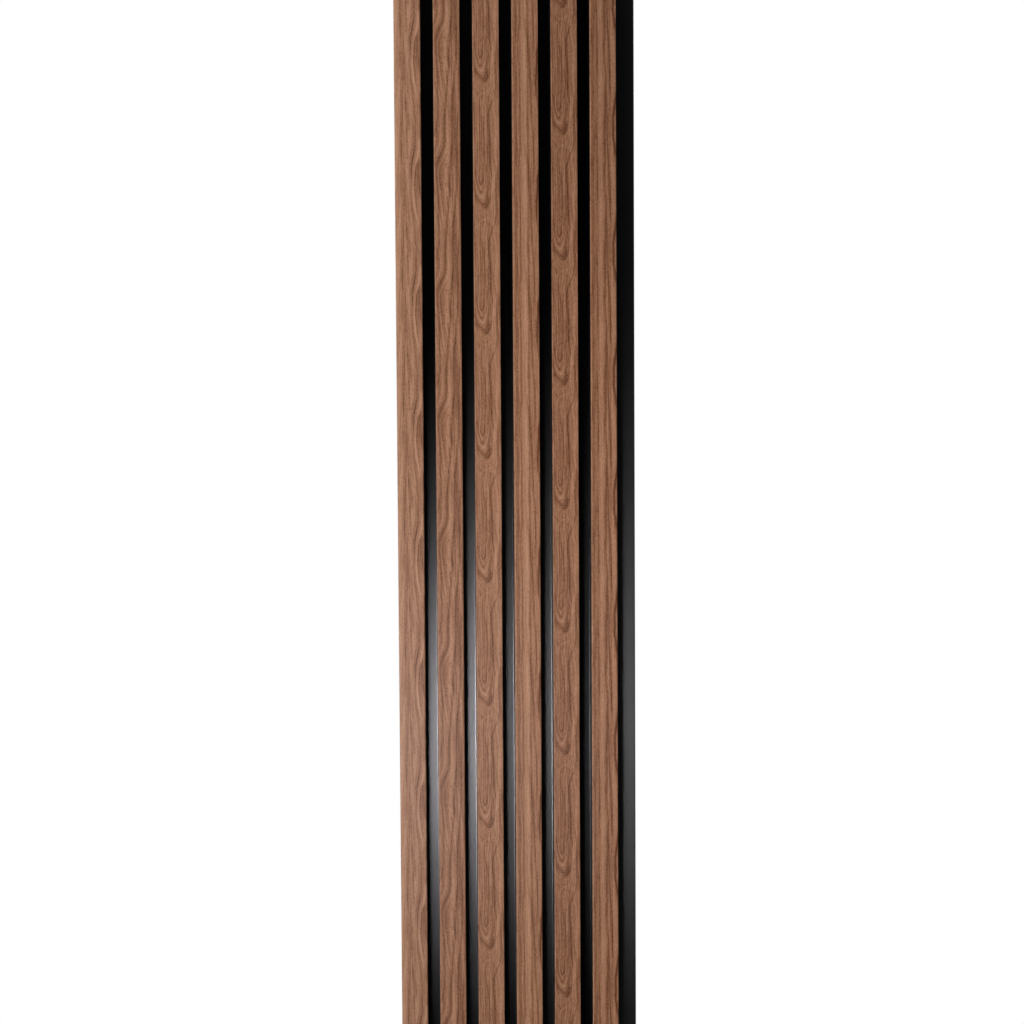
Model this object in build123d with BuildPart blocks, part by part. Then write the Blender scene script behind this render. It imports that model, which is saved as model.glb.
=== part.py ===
"""Slat wall panel: a long foamed plastic profile with raised slats faced in wood-grain film.

One black profile carries everything: a flat base, six slats standing on it with
narrow grooves between them, a thin tongue along the right edge and a lap recess
under the left slat. The next panel's left slat laps over the tongue, so that the
grooves run on at the same pitch. Each slat has its own strip of decor film, which
covers the front and the two rounded arrises and is let into the profile, so that
it ends flush with the black slat walls. The back has shallow channels for glue.

Frame: +Z runs up the panel and +X to the right as it is seen from the room. The
front faces -Y. The origin is the middle of the back face, where the wall is.
"""

import os

from build123d import *

# Panel, in millimetres
panel_length = 2650.0
base_thickness = 4.5

# Slats and grooves
slat_count = 6
slat_width = 14.0
slat_height = 7.5
groove_width = 5.65
root_radius = 0.5

# Decor film on each slat
film_thickness = 0.3
crown_radius = 0.8

# Lap joint with the next panel
lap_width = 4.1
lap_clearance = 0.3
tongue_radius = 0.7
lap_root_radius = 0.4
lap_lead_in = 0.4

# Glue channels in the back
channel_width = 8.0
channel_depth = 1.0
channel_radius = 0.4

# Sizes and places that follow from those above
pitch = slat_width + groove_width
panel_thickness = base_thickness + slat_height
tongue_reach = groove_width + lap_width
panel_width = slat_count * slat_width + (slat_count - 1) * groove_width + tongue_reach
left_edge = -panel_width / 2
right_edge = panel_width / 2
recess_width = lap_width + lap_clearance
recess_depth = base_thickness + lap_clearance
shoulder_height = panel_thickness - crown_radius
slat_middles = [left_edge + slat_width / 2 + i * pitch for i in range(slat_count)]
cut_end = Plane.XY.offset(-panel_length / 2)
same_level = 0.001


def corners_at(sketch, height):
    """The corners of a section at one height above the back face, from left to right."""
    lowest = -height - same_level
    highest = -height + same_level
    return sketch.vertices().filter_by_position(Axis.Y, lowest, highest).sort_by(Axis.X)


# Section of the decor film: the line of a rounded crown, thickened inwards
with BuildSketch() as film_section:
    with BuildLine():
        left_arris = JernArc((-slat_width / 2, 0), (0, -1), crown_radius, 90)
        front = Line(left_arris @ 1, (slat_width / 2 - crown_radius, -crown_radius))
        JernArc(front @ 1, (1, 0), crown_radius, 90)
        offset(amount=film_thickness, side=Side.LEFT)
    make_face()

# Black profile: base, slats, tongue on the right, lap recess on the left, glue channels
with BuildPart() as panel_profile:
    with BuildSketch(cut_end) as section:
        with Locations((right_edge, 0)):
            Rectangle(
                panel_width - recess_width,
                base_thickness,
                align=(Align.MAX, Align.MAX),
            )
        with Locations(*[(x, -base_thickness) for x in slat_middles]):
            Rectangle(slat_width, slat_height, align=(Align.CENTER, Align.MAX))
        with Locations((left_edge, 0)):
            Rectangle(
                recess_width,
                recess_depth,
                align=(Align.MIN, Align.MAX),
                mode=Mode.SUBTRACT,
            )
        fillet(corners_at(section, panel_thickness), crown_radius)
        fillet(corners_at(section, base_thickness)[:-1], root_radius)
        fillet(corners_at(section, base_thickness)[-1], tongue_radius)
        fillet(corners_at(section, recess_depth)[-1], lap_root_radius)
        chamfer(corners_at(section, recess_depth)[0], lap_lead_in)
        with Locations(*[(x, -shoulder_height) for x in slat_middles]):
            add(film_section.sketch, mode=Mode.SUBTRACT)
        with Locations(*[(x, 0) for x in slat_middles[1:]]):
            Rectangle(
                channel_width,
                channel_depth,
                align=(Align.CENTER, Align.MAX),
                mode=Mode.SUBTRACT,
            )
        fillet(corners_at(section, channel_depth), channel_radius)
    extrude(amount=panel_length)

panel_profile.part.label = "panel_profile"
os.makedirs("parts", exist_ok=True)
export_step(panel_profile.part, "parts/panel_profile.step")

# Decor film: one strip for each slat, wrapped round the crown from shoulder to shoulder
for number, slat_middle in enumerate(slat_middles, start=1):
    with BuildPart() as slat_film:
        with BuildSketch(cut_end):
            with Locations((slat_middle, -shoulder_height)):
                add(film_section.sketch)
        extrude(amount=panel_length)
    slat_film.part.label = f"slat_film_{number}"
    export_step(slat_film.part, f"parts/{slat_film.part.label}.step")
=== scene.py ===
"""Slat wall panel: a black extruded profile with six slats, each faced in walnut film.

The panel stands on its lower end as it would against a wall, with +Z up the slats
and the slats facing -Y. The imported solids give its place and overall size.
"""

import math

import bpy
import numpy as np
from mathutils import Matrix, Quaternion, Vector


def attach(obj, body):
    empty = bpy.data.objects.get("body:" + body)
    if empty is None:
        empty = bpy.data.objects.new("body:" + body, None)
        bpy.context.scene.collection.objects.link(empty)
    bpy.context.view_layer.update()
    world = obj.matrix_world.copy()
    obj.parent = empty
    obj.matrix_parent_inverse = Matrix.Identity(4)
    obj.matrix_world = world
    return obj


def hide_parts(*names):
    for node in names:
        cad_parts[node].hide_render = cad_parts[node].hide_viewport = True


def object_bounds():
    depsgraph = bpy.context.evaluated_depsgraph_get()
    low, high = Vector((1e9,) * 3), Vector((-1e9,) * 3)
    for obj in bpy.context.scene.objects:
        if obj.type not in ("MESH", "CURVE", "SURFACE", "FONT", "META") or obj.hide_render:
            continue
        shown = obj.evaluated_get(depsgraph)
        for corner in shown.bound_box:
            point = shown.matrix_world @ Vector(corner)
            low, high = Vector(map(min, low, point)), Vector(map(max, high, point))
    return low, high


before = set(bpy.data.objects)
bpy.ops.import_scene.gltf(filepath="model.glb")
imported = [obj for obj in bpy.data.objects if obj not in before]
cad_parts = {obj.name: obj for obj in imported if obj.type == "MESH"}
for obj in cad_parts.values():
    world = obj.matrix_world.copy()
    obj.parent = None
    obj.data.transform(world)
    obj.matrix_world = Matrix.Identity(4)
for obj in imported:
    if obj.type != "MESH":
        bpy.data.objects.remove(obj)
cad_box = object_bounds()

# The black profile is one extrusion of foamed polystyrene with a closed satin skin: base,
# slats, tongue and lap recess. It is glued to the wall with its whole back, and its two
# ends are sawn. Lengths are in metres, and a height is measured out from the back face.
MM = 0.001
SLAT_COUNT = 6
PITCH = 19.65 * MM
PACKED_SLAT_WIDTH = 14.0 * MM
SLAT_WIDTH = 13.25 * MM
BASE_THICKNESS = 4.5 * MM
FILM_THICKNESS = 0.3 * MM
CROWN_RADIUS = 0.8 * MM
ROOT_RADIUS = 0.5 * MM
TONGUE_RADIUS = 0.7 * MM
RECESS_WIDTH = 4.4 * MM
RECESS_DEPTH = 4.8 * MM
RECESS_RADIUS = 0.4 * MM
LEAD_IN = 0.4 * MM
CHANNEL_WIDTH = 8.0 * MM
CHANNEL_DEPTH = 1.0 * MM
CHANNEL_RADIUS = 0.4 * MM
ARC_STEPS = 8
HEM = 0.04 * MM
FLAT = 0.4 * MM
SAME_PLACE = 0.001 * MM
SHARP_ANGLE = math.radians(35)
# Each pair of colours is blended, and a colour is red, green, blue and alpha.
SKIN_COLOURS = ((0.0009, 0.0009, 0.0010, 1), (0.0022, 0.0022, 0.0024, 1))
SAWN_COLOURS = ((0.006, 0.006, 0.0065, 1), (0.022, 0.022, 0.023, 1))
WALL_GLOSS = 0.1
WALL_ROUGHNESS = 0.7
# The skin isn't even, so the five groove floors and the tongue each have their own gloss.
FLOOR_GLOSS = (0.118, 0.18, 0.12, 0.16, 0.06, 0.38)
FLOOR_ROUGHNESS = 0.38
# The profile's materials in order: the walls, the sawn ends and then the floors.
END_SLOT = 1
FIRST_FLOOR_SLOT = 2

low, high = cad_box
left_edge, right_edge = low.x, high.x
lower_end, upper_end = low.z, high.z
crown_height = -low.y
shoulder_height = crown_height - CROWN_RADIUS
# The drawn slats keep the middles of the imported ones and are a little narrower.
slat_middles = [left_edge + PACKED_SLAT_WIDTH / 2 + i * PITCH for i in range(SLAT_COUNT)]
slat_sides = [(middle - SLAT_WIDTH / 2, middle + SLAT_WIDTH / 2) for middle in slat_middles]
left_flank = slat_sides[0][0]


def rounded_outline(corners):
    """The closed outline through corners (x, height, radius), each rounded to its radius.

    An arc's points are its centre plus the radius at evenly spaced angles between the two
    tangent points. A corner of radius zero stays one point. A flat longer than FLAT gets a
    point HEM inside each of its ends, so that smooth shading bends over the hem alone.
    """
    points = []
    places = np.array([corner[:2] for corner in corners])
    for i, (x, height, radius) in enumerate(corners):
        corner = np.array([x, height])
        if radius == 0:
            points.append(corner[None])
            continue
        back = places[i - 1] - corner
        ahead = places[(i + 1) % len(corners)] - corner
        back = back / np.linalg.norm(back)
        ahead = ahead / np.linalg.norm(ahead)
        centre = corner + (back + ahead) * radius
        turn = np.linspace(0, math.pi / 2, ARC_STEPS + 1)[:, None]
        points.append(centre - ahead * radius * np.cos(turn) - back * radius * np.sin(turn))
    points = np.concatenate(points)
    run = np.roll(points, -1, axis=0) - points
    length = np.linalg.norm(run, axis=1)
    points, run, length = [values[length > SAME_PLACE] for values in (points, run, length)]
    step = run / length[:, None] * HEM
    row = np.stack([points, points + step, points + run - step], 1)
    kept = np.stack([length > 0, length > FLAT, length > FLAT], 1)
    return row[kept]


def along_panel(name, outline, stations):
    """A closed solid: the outline repeated at each station of Z, with quads between and caps.

    Corner k of ring j is vertex j * n + k. Its place is (x, -height, station), so the
    outline runs clockwise in (x, height) for the faces to point outwards.
    """
    n = len(outline)
    rings = len(stations)
    verts = np.empty((rings, n, 3))
    verts[:, :, 0] = outline[:, 0]
    verts[:, :, 1] = -outline[:, 1]
    verts[:, :, 2] = np.asarray(stations)[:, None]
    ring, corner = np.meshgrid(np.arange(rings - 1), np.arange(n), indexing="ij")
    after = (corner + 1) % n
    lower = ring * n
    upper = (ring + 1) * n
    quads = np.stack([lower + corner, lower + after, upper + after, upper + corner], -1)
    caps = [list(range(n))[::-1], [(rings - 1) * n + k for k in range(n)]]
    mesh = bpy.data.meshes.new(name)
    mesh.from_pydata(verts.reshape(-1, 3).tolist(), [], quads.reshape(-1, 4).tolist() + caps)
    mesh.polygons.foreach_set("use_smooth", np.ones(len(mesh.polygons), bool))
    mesh.set_sharp_from_angle(angle=SHARP_ANGLE)
    mesh.validate()
    piece = bpy.data.objects.new(name, mesh)
    bpy.context.scene.collection.objects.link(piece)
    return piece


def profile_outline():
    """The whole section of the profile, from the foot of the tongue round by the front."""
    crown = crown_height - FILM_THICKNESS
    bend = CROWN_RADIUS - FILM_THICKNESS
    corners = [(right_edge, 0, 0), (right_edge, BASE_THICKNESS, TONGUE_RADIUS)]
    for left, right in reversed(slat_sides):
        corners.append((right, BASE_THICKNESS, ROOT_RADIUS))
        corners.append((right, shoulder_height, 0))
        corners.append((right - FILM_THICKNESS, shoulder_height, 0))
        corners.append((right - FILM_THICKNESS, crown, bend))
        corners.append((left + FILM_THICKNESS, crown, bend))
        corners.append((left + FILM_THICKNESS, shoulder_height, 0))
        corners.append((left, shoulder_height, 0))
        if left > left_flank:
            corners.append((left, BASE_THICKNESS, ROOT_RADIUS))
    recess_wall = left_edge + RECESS_WIDTH
    corners.append((left_flank, RECESS_DEPTH + LEAD_IN, 0))
    corners.append((left_flank + LEAD_IN, RECESS_DEPTH, 0))
    corners.append((recess_wall, RECESS_DEPTH, RECESS_RADIUS))
    corners.append((recess_wall, 0, 0))
    for middle in slat_middles[1:]:
        corners.append((middle - CHANNEL_WIDTH / 2, 0, 0))
        corners.append((middle - CHANNEL_WIDTH / 2, CHANNEL_DEPTH, CHANNEL_RADIUS))
        corners.append((middle + CHANNEL_WIDTH / 2, CHANNEL_DEPTH, CHANNEL_RADIUS))
        corners.append((middle + CHANNEL_WIDTH / 2, 0, 0))
    return rounded_outline(corners)[::-1]


class Wiring:
    """Adds nodes to one tree.

    A call makes a node, links or sets its inputs and returns its output, apart from put,
    which fills one socket with a link or a value, and node, which returns the node.
    """

    def __init__(self, tree):
        self.tree = tree

    def put(self, socket, value):
        if isinstance(value, bpy.types.NodeSocket):
            self.tree.links.new(value, socket)
        else:
            socket.default_value = value

    def node(self, kind, inputs=None, **settings):
        made = self.tree.nodes.new(kind)
        for key, value in settings.items():
            setattr(made, key, value)
        for key, value in (inputs or {}).items():
            self.put(made.inputs[key], value)
        return made

    def math(self, operation, first, second=0.0, third=0.0):
        made = self.node("ShaderNodeMath", operation=operation)
        for socket, value in zip(made.inputs, (first, second, third)):
            self.put(socket, value)
        return made.outputs[0]

    def step(self, value, start, end, first=0.0, last=1.0):
        """A smooth change from first to last while value goes from start to end."""
        made = self.node("ShaderNodeMapRange", interpolation_type="SMOOTHSTEP")
        for socket, number in zip(made.inputs[:5], (value, start, end, first, last)):
            self.put(socket, number)
        return made.outputs[0]

    def mix(self, share, first, second):
        made = self.node("ShaderNodeMix", data_type="FLOAT")
        for key, value in (("Factor", share), ("A", first), ("B", second)):
            self.put(next(s for s in made.inputs if s.name == key and s.type == "VALUE"), value)
        return made.outputs[0]

    def blend(self, share, first, second):
        made = self.node("ShaderNodeMix", data_type="RGBA")
        self.put(made.inputs[0], share)
        self.put(made.inputs[6], first)
        self.put(made.inputs[7], second)
        return made.outputs[2]

    def curve(self, value, points, handles="AUTO_CLAMPED"):
        """A curve through points, each from 0 to 1, read at value."""
        made = self.node("ShaderNodeFloatCurve", {"Value": value})
        line = made.mapping.curves[0]
        while len(line.points) < len(points):
            line.points.new(0.5, 0.5)
        for point, place in zip(line.points, points):
            point.location = place
            point.handle_type = handles
        made.mapping.update()
        return made.outputs[0]

    def join(self, x, y, z):
        return self.node("ShaderNodeCombineXYZ", {0: x, 1: y, 2: z}).outputs[0]

    def noise(self, vector, scale=1.0, detail=2.0, roughness=0.5):
        made = self.node(
            "ShaderNodeTexNoise",
            {"Vector": vector, "Scale": scale, "Detail": detail, "Roughness": roughness},
        )
        return made.outputs[0]


def new_material(name):
    """A material with one Principled shader, its tree's wiring and that shader."""
    material = bpy.data.materials.new(name)
    material.use_nodes = True
    return material, Wiring(material.node_tree), material.node_tree.nodes["Principled BSDF"]


def black_skin(name, gloss, roughness):
    """Black skin: faint die lines along the panel, a soft ripple and fine grain.

    gloss is the strength of its reflection, and roughness how far it spreads.
    """
    material, wire, shader = new_material(name)
    place = wire.node("ShaderNodeTexCoord").outputs["Object"]
    x, y, z = wire.node("ShaderNodeSeparateXYZ", {0: place}).outputs
    across = wire.math("ADD", wire.math("MULTIPLY", x, 1 / MM), wire.math("MULTIPLY", y, 0.7 / MM))
    die = wire.noise(wire.join(across, 0.0, wire.math("MULTIPLY", z, 6)), 1.1, 4.0, 0.6)
    ripple = wire.noise(place, 90, 2.0)
    grain = wire.noise(place, 2600, 2.0)
    tone = wire.math("MULTIPLY_ADD", die, 0.5, wire.math("MULTIPLY", ripple, 0.5))
    wire.put(shader.inputs["Base Color"], wire.blend(tone, *SKIN_COLOURS))
    shader.inputs["Specular IOR Level"].default_value = gloss
    uneven = wire.math("MULTIPLY_ADD", tone, 0.1, roughness - 0.06)
    wire.put(shader.inputs["Roughness"], wire.math("MULTIPLY_ADD", grain, 0.02, uneven))
    height = wire.math("MULTIPLY_ADD", die, 0.6, wire.math("MULTIPLY", ripple, 0.4))
    height = wire.math("MULTIPLY_ADD", grain, 0.25, height)
    bump = wire.node("ShaderNodeBump", {"Strength": 0.08, "Distance": 0.00003, "Height": height})
    wire.put(shader.inputs["Normal"], bump.outputs[0])
    return material


def sawn_end():
    """The sawn ends: the same black plastic, matt, with fine foam cells and saw lines."""
    material, wire, shader = new_material("sawn_black_end")
    place = wire.node("ShaderNodeTexCoord").outputs["Object"]
    cells = wire.node("ShaderNodeTexVoronoi", {"Vector": place, "Scale": 3200.0}).outputs["Distance"]
    stretched = wire.node("ShaderNodeMapping", {"Vector": place, "Scale": (60, 2400, 1)}).outputs[0]
    saw = wire.noise(stretched, 1.0, 2.0)
    tone = wire.math("MULTIPLY_ADD", cells, 0.6, wire.math("MULTIPLY", saw, 0.4))
    wire.put(shader.inputs["Base Color"], wire.blend(tone, *SAWN_COLOURS))
    wire.put(shader.inputs["Roughness"], wire.math("MULTIPLY_ADD", cells, 0.15, 0.66))
    bump = wire.node("ShaderNodeBump", {"Strength": 0.5, "Distance": 0.0001, "Height": tone})
    wire.put(shader.inputs["Normal"], bump.outputs[0])
    return material


profile = along_panel("profile_skin", profile_outline(), [lower_end, upper_end])
profile.data.materials.append(black_skin("dull_black_walls", WALL_GLOSS, WALL_ROUGHNESS))
profile.data.materials.append(sawn_end())
face_middles = np.empty(3 * len(profile.data.polygons))
profile.data.polygons.foreach_get("center", face_middles)
face_x, face_y, face_z = face_middles.reshape(-1, 3).T
# A floor's faces reach from the tongue's rounded edge to the top of the rounded roots.
over_edge = -face_y > BASE_THICKNESS - TONGUE_RADIUS
under_root = -face_y < BASE_THICKNESS + ROOT_RADIUS
slots = np.zeros(len(face_x), int)
for i, gloss in enumerate(FLOOR_GLOSS):
    skin = black_skin(f"satin_black_floor_{i + 1}", gloss, FLOOR_ROUGHNESS)
    profile.data.materials.append(skin)
    floor_start = slat_sides[i][1]
    floor_end = slat_sides[i + 1][0] if i < SLAT_COUNT - 1 else right_edge
    between = (face_x > floor_start) & (face_x < floor_end)
    slots[between & over_edge & under_root] = FIRST_FLOOR_SLOT + i
slots[np.isclose(face_z, lower_end) | np.isclose(face_z, upper_end)] = END_SLOT
profile.data.polygons.foreach_set("material_index", slots)
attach(profile, "root")
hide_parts("panel_profile")

# Each slat's front is a strip of matt decor film printed as walnut, 0.3 mm thick, bonded
# round the crown and its two arrises and let into the profile's shoulders. The print
# comes from one roller, so the figure on every strip repeats at the roller's turn.
ROLLER_TURN = 62.9 * MM
# The roller's turn half way up the panel, on all strips but the fifth
ROLLER_START = 0.165
# Colours of the wood at the tones 0, 0.5 and 1, and the pale colour of the painted sheen laid over it
DARK_WOOD = (0.108, 0.039, 0.018, 1)
MIDDLE_WOOD = (0.262, 0.121, 0.066, 1)
LIGHT_WOOD = (0.415, 0.222, 0.134, 1)
PAINTED_SHEEN_COLOUR = (0.3, 0.4, 0.45, 1)
# What each part of the print adds to the tone at its full strength
LINE_TONE = -0.45
STREAK_TONE = 0.1
PORE_TONE = -0.22
DOT_TONE = 0.09
FILM_GLOSS = 0.025
# The print's lines lie within HALF_REACH of the slat's middle and wander by WANDER in all,
# and each arris, where its painted highlight lies, goes from ARRIS_START to ARRIS_END.
# These four are in millimetres.
HALF_REACH = 8.0
WANDER = 0.7
ARRIS_START = 6.1
ARRIS_END = 6.5
# A line fades out at this many times its half width.
LINE_FADE = 1.3
# Nested arches would be round with a power of 2 and are more pointed with less. Their
# middle leans over by ARCH_LEAN, and their lines fade out on its right, in millimetres.
RING_POWER = 1.7
ARCH_LEAN = 3.0
RING_FADE_START = 3.0
RING_FADE_END = 5.0
# The strip is unwrapped in rows: the share of a row that the outer face takes, where the
# inner face is folded in and how much it takes, and the margin at a row's ends.
FILM_ROWS = 8
OUTER_SHARE = 0.78
INNER_MIDDLE = 0.97
INNER_SHARE = 0.02
ROW_MARGIN = 0.01


def film_outline(left, right):
    """Section of one strip: the outer crown line and back along the inner one."""
    inner_left = left + FILM_THICKNESS
    inner_right = right - FILM_THICKNESS
    crown = crown_height - FILM_THICKNESS
    bend = CROWN_RADIUS - FILM_THICKNESS
    return rounded_outline(
        [
            (left, shoulder_height, 0),
            (left, crown_height, CROWN_RADIUS),
            (right, crown_height, CROWN_RADIUS),
            (right, shoulder_height, 0),
            (inner_right, shoulder_height, 0),
            (inner_right, crown, bend),
            (inner_left, crown, bend),
            (inner_left, shoulder_height, 0),
        ]
    )


def roller_print():
    """Node group: a point of the panel as its place on the roller.

    Across is the distance from the slat's middle in millimetres. Turn is the strip's own
    shift less the height over the roller's turn, and Phase its fraction. Cosine and Sine
    are the point on a unit circle at that turn: a noise read there repeats with it.
    """
    tree = bpy.data.node_groups.new("roller_place", "ShaderNodeTree")
    for name in ("Middle", "Shift"):
        tree.interface.new_socket(name, in_out="INPUT", socket_type="NodeSocketFloat")
    for name in ("Across", "Turn", "Phase", "Cosine", "Sine"):
        tree.interface.new_socket(name, in_out="OUTPUT", socket_type="NodeSocketFloat")
    wire = Wiring(tree)
    given = wire.node("NodeGroupInput")
    place = wire.node("ShaderNodeTexCoord").outputs["Object"]
    x, _, z = wire.node("ShaderNodeSeparateXYZ", {0: place}).outputs
    across = wire.math("SUBTRACT", wire.math("MULTIPLY", x, 1 / MM), given.outputs["Middle"])
    turn = wire.math("MULTIPLY_ADD", z, -1 / ROLLER_TURN, given.outputs["Shift"])
    angle = wire.math("MULTIPLY", turn, 2 * math.pi)
    results = {
        "Across": across,
        "Turn": turn,
        "Phase": wire.math("FRACT", turn),
        "Cosine": wire.math("COSINE", angle),
        "Sine": wire.math("SINE", angle),
    }
    out = wire.node("NodeGroupOutput")
    for name, value in results.items():
        wire.put(out.inputs[name], value)
    return tree


def fine_grain():
    """Node group: streaks, fibres and pores drawn along a growth coordinate.

    Growth is in millimetres, and the fine grain follows where it stays the same. Each
    effect is noise of that coordinate and of the place round the roller, so it is longer
    along the slat than across it and repeats with the roller.
    """
    tree = bpy.data.node_groups.new("fine_grain", "ShaderNodeTree")
    for name in ("Growth", "Cosine", "Sine", "Seed"):
        tree.interface.new_socket(name, in_out="INPUT", socket_type="NodeSocketFloat")
    for name in ("Streak", "Fibre", "Pore"):
        tree.interface.new_socket(name, in_out="OUTPUT", socket_type="NodeSocketFloat")
    wire = Wiring(tree)
    given = wire.node("NodeGroupInput").outputs

    def along(per_mm, length_mm, detail, roughness):
        """Noise with per_mm features across the growth lines, each length_mm long."""
        radius = ROLLER_TURN / MM / (2 * math.pi * length_mm)
        vector = wire.join(
            wire.math("MULTIPLY_ADD", given["Growth"], per_mm, given["Seed"]),
            wire.math("MULTIPLY", given["Cosine"], radius),
            wire.math("MULTIPLY", given["Sine"], radius),
        )
        return wire.noise(vector, 1.0, detail, roughness)

    streak = along(per_mm=0.9, length_mm=26.0, detail=2.0, roughness=0.55)
    fibre = along(per_mm=2.3, length_mm=15.0, detail=2.0, roughness=0.6)
    pore = along(per_mm=3.2, length_mm=0.9, detail=2.0, roughness=0.7)
    out = wire.node("NodeGroupOutput")
    wire.put(out.inputs["Streak"], wire.step(streak, 0.3, 0.7, -1.0, 1.0))
    wire.put(out.inputs["Fibre"], wire.step(fibre, 0.3, 0.7, -1.0, 1.0))
    wire.put(out.inputs["Pore"], wire.step(pore, 0.5, 0.7, -0.4, 1.0))
    return tree


roller_place = roller_print()
fine_grain_group = fine_grain()


def full_turn(points):
    """The points of a line, with the line's ends held at depth zero to the turn's ends."""
    points = list(points)
    if points[0][0] > 0:
        points.insert(0, (0, points[0][1], 0))
    if points[-1][0] < 1:
        points.append((1, points[-1][1], 0))
    return points


def place_at(wire, phase, points, sign=1):
    """Sign times the millimetres across of the curve through points (turn, millimetres)."""
    shares = [(turn, 0.5 + x / HALF_REACH / 2) for turn, x in points]
    share = wire.curve(phase, shares)
    return wire.math("MULTIPLY_ADD", share, sign * 2 * HALF_REACH, -sign * HALF_REACH)


def nested_arches(wire, across, phase, arch, total):
    """Arches that point down: their ring distance, where they show, and total with their lines.

    arch is (turn of the springing, middle in millimetres across, millimetres of depth in
    a turn, ring lines). The ring distance is the distance beside the middle and the depth
    below the springing, each to the RING_POWER, added, and the root of that power taken.
    The arches show from just before the springing to 0.3 turns after it, and on the way
    their middle leans over to the right. A ring line is (ring distance, half width, weight).
    """
    spring, middle, depth_per_turn, ring_lines = arch
    leaning = wire.step(phase, spring + 0.1, spring + 0.32, middle, middle + ARCH_LEAN)
    beside = wire.math("SUBTRACT", across, leaning)
    below = wire.math("MAXIMUM", wire.math("SUBTRACT", phase, spring), 0.0)
    depth = wire.math("MULTIPLY", below, depth_per_turn)
    beside_power = wire.math("POWER", wire.math("ABSOLUTE", beside), RING_POWER)
    depth_power = wire.math("POWER", depth, RING_POWER)
    ring = wire.math("POWER", wire.math("ADD", beside_power, depth_power), 1 / RING_POWER)
    coming = wire.step(phase, spring - 0.14, spring - 0.02)
    going = wire.step(phase, spring + 0.22, spring + 0.3, 1.0, 0.0)
    arched = wire.math("MULTIPLY", coming, going)
    on_left = wire.step(beside, RING_FADE_START, RING_FADE_END, 1.0, 0.0)
    shown = wire.math("MULTIPLY", arched, on_left)
    for place, half_width, weight in ring_lines:
        gap = wire.math("ABSOLUTE", wire.math("SUBTRACT", ring, place))
        mark = wire.step(gap, 0.0, half_width, weight, 0.0)
        total = wire.math("MULTIPLY_ADD", mark, shown, total)
    return ring, arched, total


def figure_print(name, lines, flow, arch=None):
    """Node group: one print of the roller, as the dark and light lines drawn on it.

    A line is (half width, weight, points), and a point is (turn, millimetres across,
    depth). Two curves through the points give the line's place and depth at each turn,
    and the line fades from its middle outwards. A negative weight is a light line. flow
    is (side, points): the fine grain drifts across by the points' amount, in full on the
    named side of the slat and little or not at all on the other. arch is what
    nested_arches takes. Growth is the coordinate that the fine grain follows, Ring the
    one that it follows in the arches, and Arched the share of Ring.
    """
    tree = bpy.data.node_groups.new(name, "ShaderNodeTree")
    for key in ("Across", "Phase"):
        tree.interface.new_socket(key, in_out="INPUT", socket_type="NodeSocketFloat")
    for key in ("Lines", "Growth", "Ring", "Arched"):
        tree.interface.new_socket(key, in_out="OUTPUT", socket_type="NodeSocketFloat")
    wire = Wiring(tree)
    given = wire.node("NodeGroupInput").outputs
    across, phase = given["Across"], given["Phase"]
    total = 0.0
    for half_width, weight, points in lines:
        points = full_turn(points)
        line = place_at(wire, phase, [(turn, x) for turn, x, _ in points])
        gap = wire.math("ABSOLUTE", wire.math("SUBTRACT", across, line))
        mark = wire.step(gap, 0.0, half_width * LINE_FADE, weight, 0.0)
        depth = wire.curve(phase, [(turn, depth) for turn, _, depth in points], "VECTOR")
        total = wire.math("MULTIPLY_ADD", mark, depth, total)
    side, drift = flow
    if side == "right":
        share = wire.step(across, -2.0, 3.0)
    else:
        share = wire.step(across, -3.0, 3.0, 1.0, 0.15)
    growth = wire.math("MULTIPLY_ADD", place_at(wire, phase, drift, -1), share, across)
    out = wire.node("NodeGroupOutput")
    if arch:
        ring, arched, total = nested_arches(wire, across, phase, arch, total)
        wire.put(out.inputs["Ring"], ring)
        wire.put(out.inputs["Arched"], arched)
    wire.put(out.inputs["Lines"], total)
    wire.put(out.inputs["Growth"], growth)
    return tree


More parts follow.
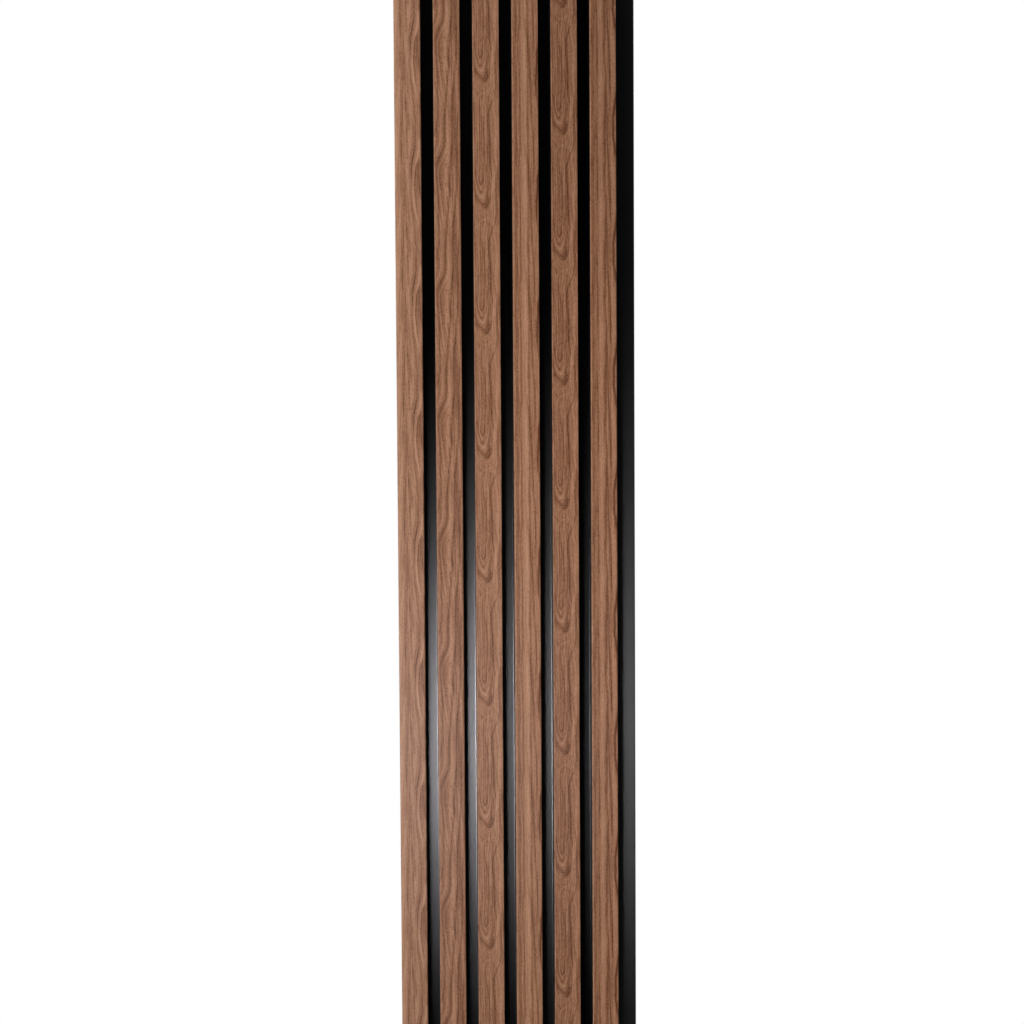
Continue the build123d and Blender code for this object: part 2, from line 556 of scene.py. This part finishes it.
# A half eye on the right edge, with one strong line bent round it
eye_print = figure_print(
    "edge_eye_print",
    [
        (1.0, 0.6, [(0, -3.0, 0.6), (0.5, -2.9, 0.8), (1, -3.0, 0.6)]),
        (0.45, 0.5, [(0, -3.5, 0.7), (0.3, -3.3, 0.9), (0.6, -3.5, 0.6), (1, -3.5, 0.7)]),
        (0.45, 0.45, [(0, -2.4, 0.7), (0.4, -2.2, 0.5), (0.7, -2.0, 0.9), (1, -2.4, 0.7)]),
        (0.5, 0.7, [(0, -0.6, 0.7), (0.25, -0.2, 0.9), (0.4, 0.2, 0.4), (0.47, 0.3, 0)]),
        (0.5, 0.7, [(0.34, -1.8, 0), (0.45, -1.7, 0.8), (0.8, -1.2, 0.9), (1, -0.6, 0.7)]),
        (0.75, 0.9, [(0, 3.5, 0.6), (0.1, 4.1, 0.4), (0.2, 4.1, 0.6), (0.3, 3.0, 0.95),
                     (0.4, 1.85, 1), (0.5, 1.6, 0.7), (0.6, 1.25, 0.75), (0.7, 1.6, 0.7),
                     (0.8, 2.5, 0.95), (0.9, 3.1, 0.9), (1, 3.5, 0.6)]),
        (0.55, 0.7, [(0.35, 5.4, 0), (0.38, 4.8, 0.7), (0.42, 4.0, 1), (0.5, 3.5, 1),
                     (0.6, 3.45, 0.8), (0.66, 3.8, 0.5), (0.75, 4.6, 0.4), (0.83, 5.6, 0.4),
                     (0.9, 6.4, 0.3)]),
        (1.9, 0.75, [(0.34, 6.5, 0), (0.4, 5.4, 0.8), (0.5, 5.0, 1), (0.6, 5.0, 0.8),
                     (0.68, 5.2, 0.4), (0.8, 6.4, 0.3), (0.9, 6.9, 0)]),
        (0.9, -0.6, [(0.16, 6.4, 0), (0.21, 5.9, 0.7), (0.27, 5.4, 1), (0.32, 4.9, 1),
                     (0.38, 3.8, 0.6), (0.45, 2.9, 0.5), (0.6, 2.35, 0.6), (0.7, 2.8, 0.5),
                     (0.8, 4.2, 0.5), (0.9, 5.4, 0)]),
        (1.0, 0.9, [(0.02, 6.9, 0), (0.15, 6.9, 1), (0.25, 7.2, 0)]),
        (1.0, 0.9, [(0.74, 7.2, 0), (0.85, 6.9, 1), (0.95, 6.9, 1), (1, 6.9, 0.4)]),
    ],
    ("right", [(0, 1.6), (0.1, 2.0), (0.2, 1.9), (0.3, 1.1), (0.4, 0.2), (0.6, -0.4), (0.7, -0.1),
               (0.8, 0.7), (0.9, 1.3), (1, 1.6)]),
)

# Lines that lean over to the left once a turn, each going on as the next one to its left
leaning_print = figure_print(
    "leaning_print",
    [
        (0.65, 0.85, [(0, 5.45, 0.6), (0.15, 5.1, 0.7), (0.3, 4.9, 0.8), (0.5, 4.8, 0.9),
                      (0.6, 4.5, 0.8), (0.7, 4.0, 0.7), (0.83, 3.05, 0.8), (1, 2.6, 0.8)]),
        (0.65, 0.85, [(0, 2.6, 0.8), (0.2, 2.4, 0.7), (0.35, 2.1, 0.7), (0.42, 1.8, 0.7),
                      (0.5, 1.3, 0.8), (0.66, 0.87, 0.9), (0.8, -0.07, 0.7), (0.9, -0.6, 0.6),
                      (1, -1.16, 0.9)]),
        (0.6, 0.9, [(0, -1.16, 0.9), (0.1, -1.16, 0.8), (0.17, -0.95, 0.8), (0.23, -1.3, 0.8),
                    (0.27, -1.95, 0.9), (0.3, -3.0, 0.9), (0.34, -4.1, 0.9), (0.38, -5.07, 0.9),
                    (0.45, -5.5, 0.7), (0.55, -5.2, 0.9), (0.7, -4.6, 0.9), (0.85, -4.4, 1),
                    (1, -4.2, 0.8)]),
        (0.8, 0.9, [(0, -4.2, 0.8), (0.05, -4.7, 0.9), (0.12, -5.4, 0.8), (0.17, -6.2, 0)]),
        (0.6, 0.5, [(0.5, 6.6, 0), (0.65, 6.2, 0.6), (0.9, 5.8, 0.7), (1, 5.45, 0.6)]),
        (1.8, 0.4, [(0, 3.9, 0.8), (0.3, 3.5, 0.9), (0.5, 3.3, 0.6), (0.7, 2.6, 0.4), (1, 3.9, 0.8)]),
        (1.9, 0.45, [(0.27, -2.0, 0), (0.36, -3.1, 0.9), (0.5, -3.5, 0.9), (0.65, -3.2, 0.6),
                     (0.8, -2.8, 0)]),
        (1.5, -0.35, [(0.0, 0.6, 0.4), (0.15, 0.6, 1), (0.3, 0.0, 1), (0.5, -0.6, 0.8),
                      (0.8, -1.8, 0.6), (0.95, -2.4, 0)]),
        (1.0, -0.35, [(0.6, 2.2, 0), (0.8, 1.5, 1), (0.95, 0.9, 0.8), (1, 0.6, 0.4)]),
    ],
    ("left", [(0, 0.3), (0.17, 0.5), (0.23, 0.1), (0.3, -1.6), (0.38, -3.4), (0.46, -3.8),
              (0.6, -3.2), (0.8, -2.0), (1, 0.3)]),
)

# Nested arches that point down, a dark knot under them, and a line that sweeps in below
arched_print = figure_print(
    "arched_print",
    [
        (0.6, 0.85, [(0, 1.0, 0.9), (0.1, 1.05, 0.9), (0.18, 1.4, 0.9), (0.25, 1.8, 0.8),
                     (0.35, 1.85, 0.8), (0.43, 2.2, 1), (0.47, 2.3, 1), (0.52, 1.85, 0.8),
                     (0.6, 2.0, 0.7), (0.66, 1.85, 0.8), (0.7, 1.4, 0.6), (0.74, 0.4, 0)]),
        (0.65, 0.85, [(0.36, 5.7, 0), (0.45, 5.8, 0.5), (0.55, 5.4, 0.8), (0.6, 5.0, 0.9),
                      (0.7, 5.15, 0.8), (0.76, 5.4, 0.8), (0.8, 4.96, 0.8), (0.83, 4.65, 0.9),
                      (0.87, 3.9, 0.9), (0.9, 2.8, 0.8), (0.95, 1.8, 0.85), (1, 1.0, 0.9)]),
        (0.5, 0.7, [(0, -2.6, 0.5), (0.08, -1.9, 0.5), (0.15, -1.4, 0.8), (0.25, -1.1, 0.7),
                    (0.35, -1.3, 0.5), (0.45, -1.35, 0.8), (0.52, -1.45, 0.9), (0.57, -1.95, 1),
                    (0.605, -2.7, 1), (0.62, -2.9, 0)]),
        (0.5, 0.7, [(0, -5.7, 0.4), (0.1, -4.7, 0.5), (0.2, -4.4, 0.4), (0.3, -4.9, 0.3),
                    (0.38, -5.5, 0.3), (0.45, -5.4, 0.8), (0.5, -4.95, 1), (0.55, -4.3, 1),
                    (0.6, -3.1, 1), (0.615, -2.8, 0)]),
        (1.3, 0.6, [(0.63, 1.5, 0), (0.665, 1.2, 0.9), (0.7, 0.8, 1), (0.73, -0.6, 0.7),
                    (0.76, -1.5, 0)]),
        (0.9, 0.8, [(0.62, -6.1, 0), (0.66, -5.7, 0.9), (0.7, -5.0, 0.9), (0.725, -4.2, 0)]),
        (2.0, 0.2, [(0, -1.7, 0.5), (0.07, -1.2, 0.9), (0.15, -1.0, 1), (0.25, -0.8, 0.9),
                    (0.35, -0.6, 0.6), (0.48, -0.2, 0)]),
        (0.8, 0.6, [(0.77, -5.9, 0), (0.8, -5.2, 0.9), (0.82, -4.4, 0.8), (0.84, -3.6, 0.3),
                    (0.86, -3.2, 0)]),
        (0.6, 0.35, [(0.83, -0.6, 0), (0.845, -2.0, 0.6), (0.865, -3.0, 0.9), (0.9, -3.4, 0.8),
                     (0.96, -3.0, 0.6), (1, -2.6, 0.5)]),
        (0.9, -0.35, [(0.795, 1.6, 0), (0.815, -0.8, 0.8), (0.83, -2.2, 1), (0.85, -3.6, 0.9),
                      (0.88, -4.2, 0.8), (0.93, -4.3, 0)]),
        (0.5, 0.3, [(0.82, 2.6, 0), (0.86, 1.0, 0.6), (0.9, -0.3, 0.8), (0.95, -1.2, 0.7),
                    (1, -1.7, 0.3)]),
        (1.0, -0.2, [(0.86, 0.9, 0), (0.9, -1.3, 0.8), (0.95, -2.0, 0.6), (1, -0.2, 0)]),
        (0.5, 0.6, [(0.37, -1.6, 0), (0.4, -2.4, 0.9), (0.43, -3.5, 0.7), (0.45, -4.3, 0)]),
        (2.2, -0.3, [(0, 4.6, 0.8), (0.3, 4.4, 1), (0.5, 3.8, 1), (0.7, 3.6, 1), (0.82, 2.6, 0.8),
                     (0.9, 5.4, 0.6), (1, 4.6, 0.8)]),
    ],
    ("right", [(0, 0.6), (0.18, 0.9), (0.35, 1.2), (0.55, 1.3), (0.76, 1.6), (0.83, 1.0),
               (0.9, 0.2), (0.95, 0.1), (1, 0.6)]),
    (0.5, -2.7, 20.0, [(3.0, 0.7, -0.15), (3.5, 0.5, 0.45), (4.2, 1.0, 0.3)]),
)

# Straight lines with one wide light band
straight_print = figure_print(
    "straight_print",
    [
        (1.6, 0.45, [(0, -5.2, 0.9), (0.5, -5.1, 1), (1, -5.2, 0.9)]),
        (0.6, 0.45, [(0, -4.6, 0.3), (0.2, -4.4, 0.8), (0.45, -4.6, 0.5), (0.6, -4.9, 0.6),
                     (0.75, -4.4, 0.9), (0.9, -4.3, 0.6), (1, -4.6, 0.3)]),
        (0.6, 0.8, [(0, -2.55, 0.9), (0.2, -2.5, 0.9), (0.3, -2.8, 0.5), (0.45, -3.6, 0.3),
                    (0.6, -3.1, 0.4), (0.75, -2.7, 0.7), (0.9, -2.6, 0.9), (1, -2.55, 0.9)]),
        (0.75, 0.85, [(0, 1.2, 0.8), (0.1, 1.2, 0.8), (0.3, 1.5, 0.9), (0.5, 1.5, 0.9),
                      (0.7, 1.35, 0.8), (0.9, 1.3, 0.8), (1, 1.2, 0.8)]),
        (0.6, 0.85, [(0, 3.3, 0.9), (0.1, 3.65, 0.9), (0.2, 3.9, 0.9), (0.3, 4.1, 1),
                     (0.38, 4.3, 1), (0.5, 4.5, 0.4), (0.58, 4.6, 0)]),
        (0.6, 0.85, [(0.42, 2.3, 0), (0.6, 2.5, 0.4), (0.7, 2.7, 0.8), (0.85, 2.95, 0.9),
                     (1, 3.3, 0.9)]),
        (0.8, 1.3, [(0.4, 6.7, 0), (0.48, 6.3, 0.9), (0.6, 6.0, 0.8), (0.7, 5.6, 0.9),
                    (0.78, 5.5, 0.8), (0.86, 5.9, 0.4), (0.95, 6.5, 0)]),
        (2.0, 0.4, [(0.34, 3.2, 0), (0.5, 3.3, 0.9), (0.7, 3.8, 0.9), (0.9, 4.2, 0)]),
        (1.8, -0.4, [(0, -0.7, 0.9), (0.4, -0.9, 1), (0.7, -0.5, 1), (1, -0.7, 0.9)]),
    ],
    ("right", [(0, 0.0), (0.3, 0.5), (0.6, 0.2), (0.8, -0.2), (1, 0.0)]),
)

# Straight dark stripes with a dark edge that comes and goes
striped_print = figure_print(
    "striped_print",
    [
        (1.7, 0.5, [(0, -5.0, 0.9), (0.5, -5.0, 1), (1, -5.0, 0.9)]),
        (0.7, 0.6, [(0.28, -5.6, 0), (0.38, -5.5, 0.9), (0.46, -5.6, 0)]),
        (0.6, 0.5, [(0.05, -4.7, 0), (0.15, -4.6, 0.8), (0.3, -4.6, 0)]),
        (0.55, 0.9, [(0, -3.4, 0.2), (0.1, -3.3, 0.4), (0.2, -2.9, 0.9), (0.35, -2.85, 1),
                     (0.5, -2.9, 0.8), (0.6, -3.0, 0.8), (0.7, -3.1, 0.6), (0.8, -3.4, 0.2),
                     (1, -3.4, 0.2)]),
        (0.85, 0.95, [(0, 0.9, 0.8), (0.3, 0.95, 0.9), (0.45, 0.65, 0.8), (0.55, 0.8, 0.8),
                      (0.65, 1.3, 0.9), (0.8, 1.25, 1), (1, 0.9, 0.8)]),
        (0.6, 1.0, [(0, 2.1, 0.7), (0.2, 2.3, 0.9), (0.3, 2.6, 1), (0.38, 2.8, 1),
                    (0.47, 2.95, 0.8), (0.55, 3.25, 0.9), (0.63, 3.4, 0.9), (0.72, 3.5, 0.9),
                    (0.79, 3.75, 1), (0.85, 3.9, 0.2), (0.9, 4.0, 0)]),
        (0.6, 0.7, [(0.72, 1.9, 0), (0.85, 1.9, 0.5), (0.95, 2.0, 0.7), (1, 2.1, 0.8)]),
        (0.95, 1.5, [(0, 5.0, 0.85), (0.08, 5.05, 0.9), (0.14, 5.1, 1), (0.22, 5.6, 0.9),
                     (0.3, 6.4, 0.7), (0.36, 7.2, 0)]),
        (0.95, 1.5, [(0.74, 7.2, 0), (0.82, 6.8, 0.7), (0.88, 6.3, 0.9), (0.93, 5.7, 0.9),
                     (1, 5.0, 0.85)]),
        (1.8, 0.3, [(0, 2.6, 0.8), (0.5, 2.6, 0.6), (1, 2.6, 0.8)]),
        (1.6, -0.35, [(0, -1.2, 0.9), (0.5, -1.2, 1), (1, -1.2, 0.9)]),
        (1.4, -0.3, [(0.3, 5.4, 0), (0.45, 5.3, 1), (0.7, 5.3, 1), (0.86, 5.2, 0)]),
    ],
    ("right", [(0, -0.2), (0.3, 0.1), (0.6, 0.3), (0.8, 0.4), (1, -0.2)]),
)


def walnut_film(
    name,
    middle,
    figure,
    seed,
    level,
    fibres,
    arris_highlights=(0.0, 0.0),
    painted_sheen=0.0,
    shift=ROLLER_START,
    lighter_left=0.0,
):
    """Matt printed walnut on one strip: the roller's print over fine grain and pores.

    The tone of the wood is a sum: the strip's level, the drawn lines, streaks, fibres,
    pores, the printing dots, and a painted highlight along each arris that comes and goes.
    The lines wander a little, by a noise that repeats with the roller. figure is the
    strip's print and seed its own fine grain, level its mean tone and fibres the strength
    of its fibres. arrises is how strong the painted highlight is on the left and the right
    arris, milk the share of the pale painted sheen laid over the wood, shift the turn half
    way up, and lighter_left what is added towards the left arris.
    """
    material, wire, shader = new_material(name)
    place = wire.node("ShaderNodeGroup", node_tree=roller_place)
    place.inputs["Middle"].default_value = middle / MM
    place.inputs["Shift"].default_value = shift
    roller = place.outputs
    drawing = wire.node("ShaderNodeGroup", node_tree=figure)
    round_roller = wire.join(
        wire.math("MULTIPLY_ADD", roller["Across"], 0.35, seed),
        wire.math("MULTIPLY", roller["Cosine"], 1.6),
        wire.math("MULTIPLY", roller["Sine"], 1.6),
    )
    wander = wire.math("SUBTRACT", wire.noise(round_roller, 1.0, 2.0), 0.5)
    across = wire.math("MULTIPLY_ADD", wander, WANDER, roller["Across"])
    wire.put(drawing.inputs["Across"], across)
    wire.put(drawing.inputs["Phase"], roller["Phase"])

    def grain_along(growth):
        """The streaks, fibres and pores that follow one growth coordinate."""
        group = wire.node("ShaderNodeGroup", node_tree=fine_grain_group)
        wire.put(group.inputs["Growth"], growth)
        wire.put(group.inputs["Cosine"], roller["Cosine"])
        wire.put(group.inputs["Sine"], roller["Sine"])
        group.inputs["Seed"].default_value = seed
        return [group.outputs[key] for key in ("Streak", "Fibre", "Pore")]

    grain = grain_along(drawing.outputs["Growth"])
    if figure is arched_print:
        ringed = grain_along(drawing.outputs["Ring"])
        arched = drawing.outputs["Arched"]
        grain = [wire.mix(arched, plain, ring) for plain, ring in zip(grain, ringed)]
    streak, fibre, pore = grain
    tone = wire.step(across, -ARRIS_END, -1.0, level + lighter_left, level)
    tone = wire.math("MULTIPLY_ADD", drawing.outputs["Lines"], LINE_TONE, tone)
    tone = wire.math("MULTIPLY_ADD", streak, STREAK_TONE, tone)
    tone = wire.math("MULTIPLY_ADD", fibre, fibres, tone)
    tone = wire.math("MULTIPLY_ADD", pore, PORE_TONE, tone)
    panel_place = wire.node("ShaderNodeTexCoord").outputs["Object"]
    dots = wire.node("ShaderNodeMapping", {"Vector": panel_place, "Scale": (2400, 2400, 700)})
    dot_noise = wire.noise(dots.outputs[0], 1.0, 1.0)
    tone = wire.math("ADD", wire.step(dot_noise, 0.3, 0.7, -DOT_TONE, DOT_TONE), tone)
    # A painted highlight along each arris, strongest on the left ones, that comes and goes along the
    # slat
    along_arris = wire.join(seed, wire.math("MULTIPLY", roller["Turn"], 14.0), 0.0)
    broken_highlight = wire.step(wire.noise(along_arris, 1.0, 3.0, 0.7), 0.35, 0.65, 0.4, 1.6)
    left = wire.step(roller["Across"], -ARRIS_END, -ARRIS_START, arris_highlights[0], 0.0)
    right = wire.step(roller["Across"], ARRIS_START, ARRIS_END, 0.0, arris_highlights[1])
    tone = wire.math("MULTIPLY_ADD", wire.math("ADD", left, right), broken_highlight, tone)
    ramp = wire.node("ShaderNodeValToRGB", {"Fac": tone})
    stops = ramp.color_ramp.elements
    stops[0].color = DARK_WOOD
    stops[1].color = LIGHT_WOOD
    stops.new(0.5).color = MIDDLE_WOOD
    # A pale painted sheen is laid over the wood, by each strip's own share of it.
    wire.put(shader.inputs["Base Color"], wire.blend(painted_sheen, ramp.outputs[0], PAINTED_SHEEN_COLOUR))
    shader.inputs["Specular IOR Level"].default_value = FILM_GLOSS
    rough = wire.math("MULTIPLY_ADD", fibre, -0.04, 0.66)
    wire.put(shader.inputs["Roughness"], wire.math("MULTIPLY_ADD", pore, 0.15, rough))
    height = wire.math("MULTIPLY_ADD", pore, -1.0, wire.math("MULTIPLY", fibre, 0.25))
    bump = wire.node("ShaderNodeBump", {"Strength": 0.3, "Distance": 0.00004, "Height": height})
    wire.put(shader.inputs["Normal"], bump.outputs[0])
    return material


def unwrap_in_rows(film, left, right):
    """Lays the strip out in rows side by side, so that its print keeps its sharpness.

    A face's row is the whole part of its share of the height times FILM_ROWS, and v is
    what is left of that share. Across a row goes the way round the section, with the outer
    face over OUTER_SHARE of it and the hidden inner face folded into INNER_SHARE.
    """
    mesh = film.data
    corner = np.empty(len(mesh.loops), int)
    mesh.loops.foreach_get("vertex_index", corner)
    places = np.empty(3 * len(mesh.vertices))
    mesh.vertices.foreach_get("co", places)
    x, y, z = places.reshape(-1, 3)[corner].T
    corner_counts = [len(face.vertices) for face in mesh.polygons]
    face_of = np.repeat(np.arange(len(mesh.polygons)), corner_counts)
    height = np.bincount(face_of, z) / np.bincount(face_of)
    share = (height - lower_end) / (upper_end - lower_end)
    row = np.clip((share * FILM_ROWS).astype(int), 0, FILM_ROWS - 1)[face_of]
    past_skin = FILM_THICKNESS / 2
    inner = (x > left + past_skin) & (x < right - past_skin) & (-y < crown_height - past_skin)
    across = x - (left + right) / 2
    run = (across + np.sign(across) * (crown_height + y)) / (right - left)
    outer_u = 0.5 + run * OUTER_SHARE
    inner_u = INNER_MIDDLE + run * INNER_SHARE
    u = (row + np.where(inner, inner_u, outer_u)) / FILM_ROWS
    v = (z - lower_end) / (upper_end - lower_end) * FILM_ROWS - row
    v = ROW_MARGIN + (1 - 2 * ROW_MARGIN) * v
    layer = mesh.uv_layers.new(name="OFBake")
    layer.data.foreach_set("uv", np.stack([u, v], -1).ravel())


# The six strips from left to right, each with what walnut_film takes
STRIPS = [
    {
        "figure": eye_print,
        "seed": 3.1,
        "level": 0.59,
        "lighter_left": 0.2,
        "fibres": 0.22,
        "painted_sheen": 0.022,
    },
    {
        "figure": leaning_print,
        "seed": 11.7,
        "level": 0.485,
        "fibres": 0.18,
        "arris_highlights": (0.5, 0.0),
        "painted_sheen": 0.011,
    },
    {
        "figure": arched_print,
        "seed": 27.3,
        "level": 0.485,
        "fibres": 0.28,
        "arris_highlights": (0.45, 0.25),
        "painted_sheen": 0.005,
    },
    {
        "figure": straight_print,
        "seed": 31.9,
        "level": 0.57,
        "fibres": 0.2,
        "arris_highlights": (0.4, 0.0),
        "painted_sheen": 0.001,
    },
    {
        "figure": arched_print,
        "shift": 0.755,
        "seed": 27.3,
        "level": 0.395,
        "fibres": 0.26,
        "arris_highlights": (0.45, 0.25),
        "painted_sheen": 0.002,
    },
    {
        "figure": striped_print,
        "seed": 51.3,
        "level": 0.52,
        "fibres": 0.15,
        "arris_highlights": (0.4, 0.0),
    },
]

stations = np.linspace(lower_end, upper_end, FILM_ROWS + 1)
numbers = range(1, SLAT_COUNT + 1)
for number, middle, (left, right), strip in zip(numbers, slat_middles, slat_sides, STRIPS):
    film = along_panel(f"film_strip_{number}", film_outline(left, right), stations)
    unwrap_in_rows(film, left, right)
    film.data.materials.append(walnut_film(f"walnut_film_{number}", middle, **strip))
    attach(film, "root")
    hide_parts(f"slat_film_{number}")

# The stage is a pale matt floor, on which the panel's lower end stands. Away from the
# panel it fades into the white surround, so that no horizon shows.
FLOOR_SIDE = 3.0
FADE_START = 0.3
FADE_END = 1.2
FLOOR_COLOURS = ((0.74, 0.74, 0.735, 1), (0.8, 0.8, 0.795, 1))
WHITE = (1, 1, 1, 1)


def pale_floor():
    """Pale floor paint, which the camera sees as plain white away from the panel."""
    material, wire, shader = new_material("pale_floor")
    place = wire.node("ShaderNodeTexCoord").outputs["Object"]
    x, y, _ = wire.node("ShaderNodeSeparateXYZ", {0: place}).outputs
    away = wire.math("SQRT", wire.math("MULTIPLY_ADD", x, x, wire.math("MULTIPLY", y, y)))
    cloud = wire.noise(place, 40, 3.0)
    wire.put(shader.inputs["Base Color"], wire.blend(cloud, *FLOOR_COLOURS))
    shader.inputs["Roughness"].default_value = 0.7
    glow = wire.node("ShaderNodeEmission", {"Color": WHITE, "Strength": 1.0})
    camera_ray = wire.node("ShaderNodeLightPath").outputs["Is Camera Ray"]
    seen = wire.math("MULTIPLY", wire.step(away, FADE_START, FADE_END), camera_ray)
    fading = wire.node("ShaderNodeMixShader", {0: seen, 1: shader.outputs[0], 2: glow.outputs[0]})
    wire.put(wire.tree.nodes["Material Output"].inputs["Surface"], fading.outputs[0])
    return material


half_side = FLOOR_SIDE / 2
floor_corners = [
    (-half_side, -half_side, lower_end),
    (half_side, -half_side, lower_end),
    (half_side, half_side, lower_end),
    (-half_side, half_side, lower_end),
]
floor_mesh = bpy.data.meshes.new("floor")
floor_mesh.from_pydata(floor_corners, [], [(0, 1, 2, 3)])
floor_mesh.materials.append(pale_floor())
floor = bpy.data.objects.new("floor", floor_mesh)
bpy.context.scene.collection.objects.link(floor)

# The surround is plain white to the camera. Gloss sees it white behind the panel and
# nearly black on the camera's side, and it lights the panel only a little.
FILL_LIGHT = 0.2
DARK_SIDE = 0.01

world = bpy.data.worlds.new("studio")
world.use_nodes = True
bpy.context.scene.world = world
wire = Wiring(world.node_tree)
background = world.node_tree.nodes["Background"]
background.inputs["Color"].default_value = WHITE
light_path = wire.node("ShaderNodeLightPath").outputs
toward = wire.node("ShaderNodeTexCoord").outputs["Generated"]
_, depth, _ = wire.node("ShaderNodeSeparateXYZ", {0: toward}).outputs
backdrop = wire.step(depth, 0.0, 0.25, DARK_SIDE, 1.0)
strength = wire.mix(light_path["Is Glossy Ray"], FILL_LIGHT, backdrop)
seen = wire.math("MAXIMUM", light_path["Is Camera Ray"], light_path["Is Transmission Ray"])
wire.put(background.inputs["Strength"], wire.mix(seen, strength, 1.0))

# The lamps are area lamps: a tall bank on each side and a box overhead, which light the
# whole panel. Places and sizes are in metres, powers in watts and spreads in degrees.
BANK_HEIGHT = 2.2


def softbox(name, place, aim, width, height, power, spread=180.0):
    """An area lamp at place that faces aim. A grid keeps its light within spread."""
    lamp = bpy.data.lights.new(name, "AREA")
    lamp.shape = "RECTANGLE"
    lamp.size, lamp.size_y = width, height
    lamp.energy = power
    lamp.spread = math.radians(spread)
    box = bpy.data.objects.new(name, lamp)
    box.location = place
    box.rotation_mode = "QUATERNION"
    box.rotation_quaternion = (Vector(aim) - Vector(place)).to_track_quat("-Z", "Y")
    box.visible_camera = False
    bpy.context.scene.collection.objects.link(box)
    return box


softbox("left_bank", (-0.50, -0.47, 0.13), (0, 0, 0.13), 0.25, BANK_HEIGHT, power=6.45)
softbox("right_bank", (1.15, -0.55, 0.1), (0, 0, 0.1), 0.4, BANK_HEIGHT, power=6.7)
softbox("overhead", (0, -0.5, 2.3), (0, -0.1, 0), 1.6, 1.2, power=22)

# Two small gridded spots brighten the lower right and the upper left of what the camera
# sees. Gloss doesn't see them, so the groove floors stay dark there.
SPOT_SIDE = 0.12
SPOT_LEVEL = 0.5
SPOT_AWAY = -0.55
SPOTS = [
    ("pool_lamp", (0.12, SPOT_AWAY, SPOT_LEVEL), (0.053, 0, -0.137), 0.092, 33.5),
    ("corner_lamp", (-0.12, SPOT_AWAY, SPOT_LEVEL), (-0.162, 0, 0.137), 0.069, 39.0),
]
for name, place, aim, power, spread in SPOTS:
    spot = softbox(name, place, aim, SPOT_SIDE, SPOT_SIDE, power, spread)
    spot.visible_glossy = False

# A gridded box low on the left, seen by gloss alone, draws the sheen on the groove floors.
# It is turned to the right and tilted up by two angles, in radians.
SHEEN_PLACE = Vector((-0.2315, -0.286, -0.183))
SHEEN_TURN = 0.44
SHEEN_RISE = 0.2
SHEEN_WIDTH = 0.277
SHEEN_HEIGHT = 0.102

sheen_toward = Vector(
    (
        math.sin(SHEEN_TURN) * math.cos(SHEEN_RISE),
        math.cos(SHEEN_TURN) * math.cos(SHEEN_RISE),
        math.sin(SHEEN_RISE),
    )
)
sheen_aim = SHEEN_PLACE + sheen_toward
sheen = softbox("sheen_box", SHEEN_PLACE, sheen_aim, SHEEN_WIDTH, SHEEN_HEIGHT, 3.3, 53.1)
sheen.visible_diffuse = False
sheen.data.color = (1.0, 0.965, 1.0)

# The camera stands 0.7 m in front of the panel, a little left of its middle and above it,
# so that both ends are out of the picture. It is rolled by a third of a degree.
CAMERA_PLACE = Vector((-0.038, -0.716, 0.027))
CAMERA_AIM = Vector((-0.0028, -0.012, 0.0))
CAMERA_ROLL = math.radians(-0.33)
SENSOR_WIDTH = 36.0
FOCAL_LENGTH = 48.87

lens = bpy.data.cameras.new("camera")
lens.sensor_width = SENSOR_WIDTH
lens.lens = FOCAL_LENGTH
camera = bpy.data.objects.new("camera", lens)
camera.location = CAMERA_PLACE
camera.rotation_mode = "QUATERNION"
facing = (CAMERA_AIM - CAMERA_PLACE).to_track_quat("-Z", "Y")
camera.rotation_quaternion = facing @ Quaternion((0, 0, 1), CAMERA_ROLL)
bpy.context.scene.collection.objects.link(camera)
bpy.context.scene.camera = camera
bpy.context.scene.view_settings.view_transform = "Standard"
